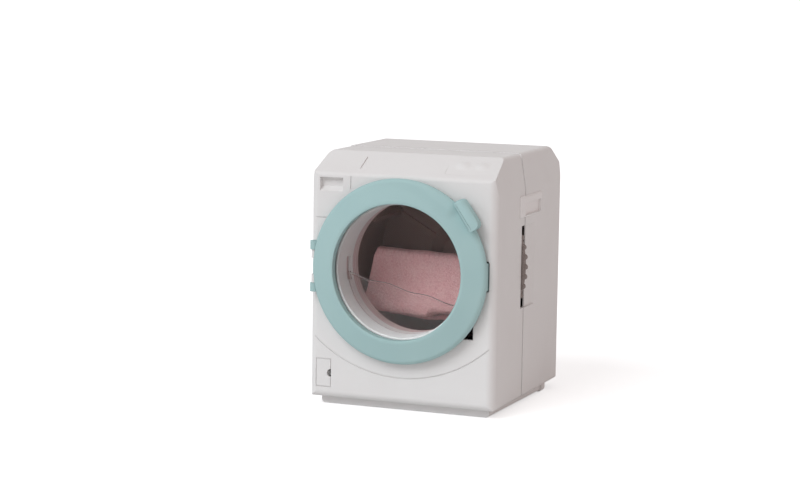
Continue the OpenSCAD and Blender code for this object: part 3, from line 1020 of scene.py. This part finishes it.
    def window(self) -> Object:
        """Makes the window: a clear disc that domes slightly forwards.

        Returns:
            The window.
        """
        front, back = self.seat_depth, self.back_depth
        shares = [row / self.lens_rows for row in range(self.lens_rows - 1)]
        dome = [(self.lens_r * share, self.lens_dome * (1 - share**2)) for share in shares]
        outline = [(radius, front - rise) for radius, rise in dome]
        outline += [(self.lens_flat_r, front), (self.lens_r, front)]
        outline += [(self.lens_r, back), (self.lens_flat_r, back)]
        outline += [(radius, back - rise) for radius, rise in reversed(dome)]
        bm = bmesh.new()
        verts = [bm.verts.new(LAYOUT.point(radius, depth, 0)) for radius, depth in outline]
        for pair in zip(verts, verts[1:]):
            bm.edges.new(pair)
        spin_round(bm, self.lens_steps)
        close_up(bm, 0.02 * MM)
        return make_piece(bm, "door_window_lens", 40)

    def build(self) -> None:
        """Builds and dresses the door."""
        self.workshop.set_piece(self.ring(), Body.DOOR, Slot.MINT_DOOR, "door_ring")
        self.workshop.set_piece(self.window(), Body.DOOR, Slot.CLEAR_WINDOW, "door_window")
        self.workshop.dress_node("door_back", Slot.MINT_DOOR)


@dataclass
class WaterPlate:
    """The clear plate across the lower part of the mouth, with a wavy top edge."""

    workshop: Workshop
    mouth_r: float = 33.5
    gap: float = 0.35
    depths: tuple[float, float] = (8.55, 9.65)
    thinner: float = 0.25
    bead: tuple[float, float] = (0.54, 0.68)
    start_z: float = -3.6
    tilt: float = 12.4
    wave: tuple[float, float, float] = (21.6, 0.5, 10.4)
    ears: tuple[float, float] = (189.5, -36)
    ear_r: tuple[float, float] = (31.7, 34.7)
    ear_half_w: float = 2

    def water_line(self, x: float) -> float:
        """Gives the height of the wavy edge.

        Args:
            x: Distance to the right of the middle, in millimetres.

        Returns:
            The height above the drum's axis, in millimetres.
        """
        length, height, phase = self.wave
        wave = height * math.cos(2 * math.pi * (x + phase) / length)
        return self.start_z - math.tan(math.radians(self.tilt)) * (x + self.mouth_r) + wave

    def ends(self) -> tuple[float, float]:
        """Finds where the wavy edge meets the plate's round rim.

        Returns:
            The left and the right end, in millimetres from the middle.
        """
        radius = self.mouth_r - self.gap
        found = []
        for side in (-1, 1):
            low, high = 0.0, radius
            for _ in range(40):
                mid = (low + high) / 2
                x = side * mid
                inside = math.hypot(x, self.water_line(x)) < radius
                low, high = (mid, high) if inside else (low, mid)
            found.append(side * low)
        return found[0], found[1]

    def plate(self) -> Object:
        """Makes the plate with its wavy edge and its two ears.

        Returns:
            The plate.
        """
        columns, rows = 150, 14
        radius = self.mouth_r - self.gap
        left, right = self.ends()
        bm = bmesh.new()
        bmesh.ops.create_grid(bm, x_segments=columns, y_segments=rows, size=0.5)
        for vert in bm.verts:
            across, up = vert.co.x + 0.5, vert.co.y + 0.5
            x = left + (right - left) * (1 - math.cos(math.pi * across)) / 2
            low = -math.sqrt(max(radius**2 - x**2, 0))
            top = max(self.water_line(x) - self.bead[1], low)
            vert.co = LAYOUT.point(x, self.depths[1] - self.thinner, low + (top - low) * up)
        close_up(bm, 0.01 * MM)
        flat = list(bm.faces)
        if sum(face.normal.y for face in flat) < 0:
            bmesh.ops.reverse_faces(bm, faces=flat)
        made = bmesh.ops.extrude_face_region(bm, geom=flat, use_keep_orig=True)
        front = [item for item in made["geom"] if isinstance(item, BMVert)]
        thick = (self.depths[0] - self.depths[1] + 2 * self.thinner) * MM
        bmesh.ops.translate(bm, vec=(0, thick, 0), verts=front)
        bmesh.ops.recalc_face_normals(bm, faces=bm.faces)
        plate = make_piece(bm, "water_plate_clear", 40)
        boolean(plate, self.edge_bead(), "UNION")
        for angle in self.ears:
            boolean(plate, self.ear(angle), "UNION")
        tidy_mesh(plate, 40)
        return plate

    def edge_bead(self) -> Object:
        """Makes the bead that runs along the plate's wavy edge.

        Returns:
            The bead, as a tool to join to the plate.
        """
        half_deep, half_high = self.bead
        steps, end_gap = 160, 0.15
        left, right = self.ends()
        middle = sum(self.depths) / 2
        span = right - left - 2 * end_gap
        places = [left + end_gap + span * step / steps for step in range(steps + 1)]
        path = [LAYOUT.point(x, middle, self.water_line(x) - half_high) for x in places]
        bm = bmesh.new()
        bmesh.ops.create_circle(bm, segments=16, radius=1)
        upright = Matrix.Rotation(math.pi / 2, 3, "Y")
        bmesh.ops.rotate(bm, cent=(0, 0, 0), matrix=upright, verts=bm.verts)
        bmesh.ops.scale(bm, vec=Vector((1, half_deep, half_high)) * MM, verts=bm.verts)
        bmesh.ops.translate(bm, vec=path[0], verts=bm.verts)
        hoop = list(bm.edges)
        for here, after in zip(path, path[1:]):
            made = bmesh.ops.extrude_edge_only(bm, edges=hoop)["geom"]
            hoop = [item for item in made if isinstance(item, BMEdge)]
            points = [item for item in made if isinstance(item, BMVert)]
            bmesh.ops.translate(bm, vec=after - here, verts=points)
        bmesh.ops.holes_fill(bm, edges=bm.edges, sides=0)
        bmesh.ops.recalc_face_normals(bm, faces=bm.faces)
        return make_piece(bm, "bead_tool")

    def ear(self, angle: float) -> Object:
        """Makes one ear, which sits in a notch of the mouth tube.

        Args:
            angle: Its place round the axis, in degrees from the right.

        Returns:
            The ear.
        """
        bm = bmesh.new()
        bmesh.ops.create_cube(bm, size=1)
        inner, outer = self.ear_r
        near, far = self.depths
        size = Vector((outer - inner, far - near, 2 * self.ear_half_w)) * MM
        bmesh.ops.scale(bm, vec=size, verts=bm.verts)
        bevel_edges(bm, bm.edges, 0.15, 2)
        middle = Vector(((inner + outer) / 2, (near + far) / 2, 0)) * MM
        bmesh.ops.translate(bm, vec=middle, verts=bm.verts)
        set_round_axis(bm, angle)
        return make_piece(bm, "ear_tool")

    def build(self) -> None:
        """Builds and dresses the plate."""
        self.workshop.set_piece(self.plate(), Body.CASING, Slot.CLEAR_WATER, "water_plate")


@dataclass
class Drum:
    """The mouth, the thumb wheel and the cup, which turn together."""

    workshop: Workshop
    # A darker copy of the cup's plastic for the thumb wheel: painted shade of the slot in the
    # side.
    wheel: MouldedPlastic = MouldedPlastic(
        "wheel_plastic_painted_shade", (0.28, 0.24, 0.225), (0.31, 0.265, 0.25), (0.36, 0.52)
    )

    def build(self) -> None:
        """Dresses the drum's parts. The wheel gets a darker copy of the cup's plastic, as painted
        shade of its slot.
        """
        self.workshop.dress_node("drum_mouth", Slot.PEARL_DRUM)
        self.workshop.dress_node("thumb_wheel", Slot.GREY_DRUM, self.wheel)
        self.workshop.dress_node("drum_cup", Slot.GREY_DRUM)


@dataclass
class Towel:
    """A terry towel, folded over and over and wedged across the drum."""

    workshop: Workshop
    depths: tuple[float, float] = (38.5, 62)
    heights: tuple[float, float] = (-30.2, 6.4)
    half_widths: tuple[tuple[float, float], ...] = (
        (-30.2, 27.6),
        (-27.3, 30.6),
        (-24, 34.4),
        (-20.9, 36),
        (-10, 33.3),
        (0, 31),
        (6.4, 28.9),
    )
    thick: float = 2.2
    pitch: float = 2.9
    turns: float = 3.2
    back_drop: float = 3.8
    loop_mm: float = 0.24
    loop_size: float = 0.85
    boxiness: float = 11
    flat_width: float = 70
    start_deg: float = -70
    core: tuple[float, float] = (0.9, 1.2)
    sinks: tuple[float, float] = (9, 0.45)
    columns: int = 150
    fine_step: float = 0.5
    coarse_step: float = 1.6

    def section(self) -> list[tuple[float, float]]:
        """Lays the towel's line from its outer end to its inner end.

        Returns:
            Points as depth and height, close together where the cloth shows.
        """
        half = (self.thick + self.loop_mm) / 2
        mid_y = sum(self.depths) / 2
        mid_z = sum(self.heights) / 2
        full_a = (self.depths[1] - self.depths[0]) / 2 - half
        full_b = (self.heights[1] - self.heights[0]) / 2 - half
        start = math.radians(self.start_deg)
        points: list[tuple[float, float]] = []
        angle = 0.0
        power = self.boxiness
        while angle < 2 * math.pi * self.turns:
            inset = self.pitch * max(angle - 0.25, 0) / (2 * math.pi)
            a, b = max(full_a - inset, self.core[0]), max(full_b - inset, self.core[1])
            turned = start + angle
            reach = (abs(math.cos(turned)) / a) ** power + (abs(math.sin(turned)) / b) ** power
            radius = reach ** (-1 / power)
            point = (mid_y + radius * math.cos(turned), mid_z + radius * math.sin(turned))
            step = self.fine_step if angle < 2 * math.pi else self.coarse_step
            if not points or math.dist(point, points[-1]) >= step:
                points.append(point)
            angle += 0.002
        return points

    def droop(self, x: float, depth: float, height: float) -> float:
        """Gives how far the cloth hangs below its even height.

        Args:
            x: Distance to the right of the middle, in millimetres.
            depth: Depth behind the front panel, in millimetres.
            height: Height above the drum's axis, in millimetres.

        Returns:
            The change of height, in millimetres.
        """
        back = smooth_step(self.depths[0], self.depths[1], depth)
        # The top leans to the right and falls towards the back.
        tilt = -0.037 * (x + 28.7)
        fall = self.back_drop * back * smooth_step(-12, 4, height)
        # The lower edge hangs in a fold left of the middle and is lifted right of it.
        low = smooth_step(-16, -29, height)
        wave = -1.6 * smooth_step(-24, -6, x) + 4.2 * smooth_step(-4, 2, x) * (1 - back)
        return (tilt - fall) * (1 - low) + (wave - back) * low

    def sheet(self) -> tuple[Object, float]:
        """Makes the folded cloth.

        Returns:
            The piece, and the sheet's flat length in metres.
        """
        line = self.section()
        lengths = [0.0]
        for one, other in zip(line, line[1:]):
            lengths.append(lengths[-1] + math.dist(one, other))
        bm = bmesh.new()
        bmesh.ops.create_grid(bm, x_segments=self.columns, y_segments=len(line) - 1, size=0.5)
        layer = bm.loops.layers.uv.new("cloth")
        spots: dict[int, tuple[float, float]] = {}
        for vert in bm.verts:
            across = vert.co.x + 0.5
            row = round((vert.co.y + 0.5) * (len(line) - 1))
            depth, height = line[row]
            side = 2 * across - 1
            x = side * between(self.half_widths, height)
            vert.co = LAYOUT.point(x, depth, height + self.droop(x, depth, height))
            spots[vert.index] = (side * self.flat_width / 2 * MM, lengths[row] * MM)
        for face in bm.faces:
            for loop in face.loops:
                loop[layer].uv = spots[loop.vert.index]
        bmesh.ops.recalc_face_normals(bm, faces=bm.faces)
        bmesh.ops.solidify(bm, geom=bm.faces, thickness=self.thick * MM)
        bm.normal_update()
        sink_size, sink_mm = self.sinks
        for vert in bm.verts:
            wide = noise.noise(vert.co / (sink_size * MM)) * sink_mm
            loops = noise.noise(vert.co / (self.loop_size * MM)) * self.loop_mm
            vert.co += vert.normal * (wide + loops) * MM
        return make_piece(bm, "folded_towel", 80), lengths[-1] * MM

    def build(self) -> None:
        """Builds and dresses the towel."""
        piece, length = self.sheet()
        self.workshop.set_piece(piece, Body.DRUM, Slot.PINK_TERRY, "towel")


# ---- studio ----


@dataclass(frozen=True)
class View:
    """The camera's place, as the picture shows the toy."""

    azimuth: float = 21.65069
    elevation: float = 7.84443
    roll: float = 0.79014
    distance: float = 1.149996
    right: float = -0.01992371
    up: float = 0.00260685
    aim: tuple[float, float, float] = (0, 0.0048, 0.0726)
    focal_px: float = 2200
    picture_px: float = 800
    sensor_mm: float = 36

    def build(self) -> None:
        """Makes the scene's camera."""
        az, el, roll = (math.radians(a) for a in (self.azimuth, self.elevation, self.roll))
        level = Vector((math.cos(az), math.sin(az), 0))
        back = Vector((math.cos(el) * math.sin(az), -math.cos(el) * math.cos(az), math.sin(el)))
        rise = back.cross(level)
        x_axis = math.cos(roll) * level + math.sin(roll) * rise
        y_axis = math.cos(roll) * rise - math.sin(roll) * level
        place = Vector(self.aim) + level * self.right + rise * self.up + back * self.distance
        data = bpy.data.cameras.new("camera")
        data.sensor_width = self.sensor_mm
        data.lens = self.focal_px / self.picture_px * self.sensor_mm
        camera = bpy.data.objects.new("camera", data)
        axes = Matrix((x_axis, y_axis, back)).transposed().to_4x4()
        camera.matrix_world = Matrix.Translation(place) @ axes
        bpy.context.scene.collection.objects.link(camera)
        bpy.context.scene.camera = camera


@dataclass(frozen=True)
class SoftSun:
    """A wide soft lamp, far away, that lights the toy and the floor evenly."""

    name: str
    origin: tuple[float, float, float]
    strength: float
    colour: tuple[float, float, float] = (1, 1, 1)
    spread_deg: float = 60

    def build(self) -> None:
        """Makes the lamp."""
        data = bpy.data.lights.new(self.name, "SUN")
        data.energy = self.strength * math.pi
        data.angle = math.radians(self.spread_deg)
        data.color = self.colour
        lamp = bpy.data.objects.new(self.name, data)
        look = (-Vector(self.origin)).to_track_quat("-Z", "Y")
        lamp.matrix_world = look.to_matrix().to_4x4()
        bpy.context.scene.collection.objects.link(lamp)


@dataclass(frozen=True)
class Studio:
    """Plain soft light, a white background, and a pale floor that keeps the shadow."""

    lamps: tuple[SoftSun, ...] = (
        SoftSun("left_key", (-0.75, -0.55, 0.37), 0.08, (0.76, 0.9, 1), 24),
        SoftSun("high_key", (-0.30, -0.66, 0.69), 0.392, (0.93, 0.975, 1), 35),
        SoftSun("front_fill", (0.05, -0.99, 0.12), 0.05, (0.9, 0.95, 1), 30),
        SoftSun("right_fill", (1, -0.25, 0.15), 0.11, (1, 0.69, 0.61), 70),
    )
    ambient: float = 0.455
    ambient_colour: tuple[float, float, float] = (1, 0.935, 0.93)
    floor_half: float = 20
    floor_lift: float = 0.55

    def shown_rays(self, w: Wiring) -> NodeSocket:
        """Gives 1 on rays that show the background: from the camera, in gloss and through glass.

        Args:
            w: The wiring of the floor's or the world's material.

        Returns:
            The socket. It stays 0 on light that comes off a matt surface.
        """
        path = w.add("LightPath")
        shown = path.outputs["Is Camera Ray"]
        for name in ("Is Glossy Ray", "Is Transmission Ray"):
            shown = w.reckon("MAXIMUM", shown, path.outputs[name])
        direct = w.reckon("LESS_THAN", path.outputs["Diffuse Depth"], 0.5)
        return w.reckon("MULTIPLY", shown, direct)

    def world(self) -> None:
        """Makes the world: white where it is seen, and a soft grey light elsewhere."""
        world = bpy.data.worlds.new("studio")
        world.use_nodes = True
        w = Wiring(world.node_tree)
        w.tree.nodes.clear()
        soft = w.add("Background", Color=self.ambient_colour, Strength=self.ambient)
        seen = w.add("Background", Color=(1, 1, 1), Strength=1.0)
        w.show(w.either(self.shown_rays(w), soft, seen), "OutputWorld")
        bpy.context.scene.world = world

    def floor(self) -> None:
        """Makes the floor, which shows white and keeps the toy's soft shadow."""
        material, w = new_material("pale_floor")
        matt = w.add("BsdfDiffuse", Color=(0.8, 0.8, 0.8))
        lifted = w.span(self.shown_rays(w), 0, self.floor_lift)
        lift = w.add("Emission", Color=(1, 1, 1), Strength=lifted)
        both = w.add("AddShader")
        w.put(both.inputs[0], matt.outputs[0])
        w.put(both.inputs[1], lift.outputs[0])
        w.show(both)
        bm = bmesh.new()
        bmesh.ops.create_grid(bm, x_segments=4, y_segments=4, size=self.floor_half)
        floor = make_piece(bm, "floor")
        floor.data.materials.append(material)

    def build(self) -> None:
        """Makes the lamps, the world and the floor."""
        bpy.context.scene.view_settings.view_transform = "Standard"
        for lamp in self.lamps:
            lamp.build()
        self.world()
        self.floor()


def main() -> None:
    """Builds the toy and its studio, one class after the other."""
    logging.basicConfig(level=logging.INFO, format="%(message)s")
    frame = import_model()
    View().build()
    Studio().build()
    workshop = Workshop(frame, Finishes().build())
    assemblies: tuple[Callable[[Workshop], object], ...] = (Casing, Door, WaterPlate, Drum, Towel)
    for assembly in assemblies:
        assembly(workshop).build()
        LOG.info("built %s", assembly.__name__)


if __name__ == "__main__":
    main()
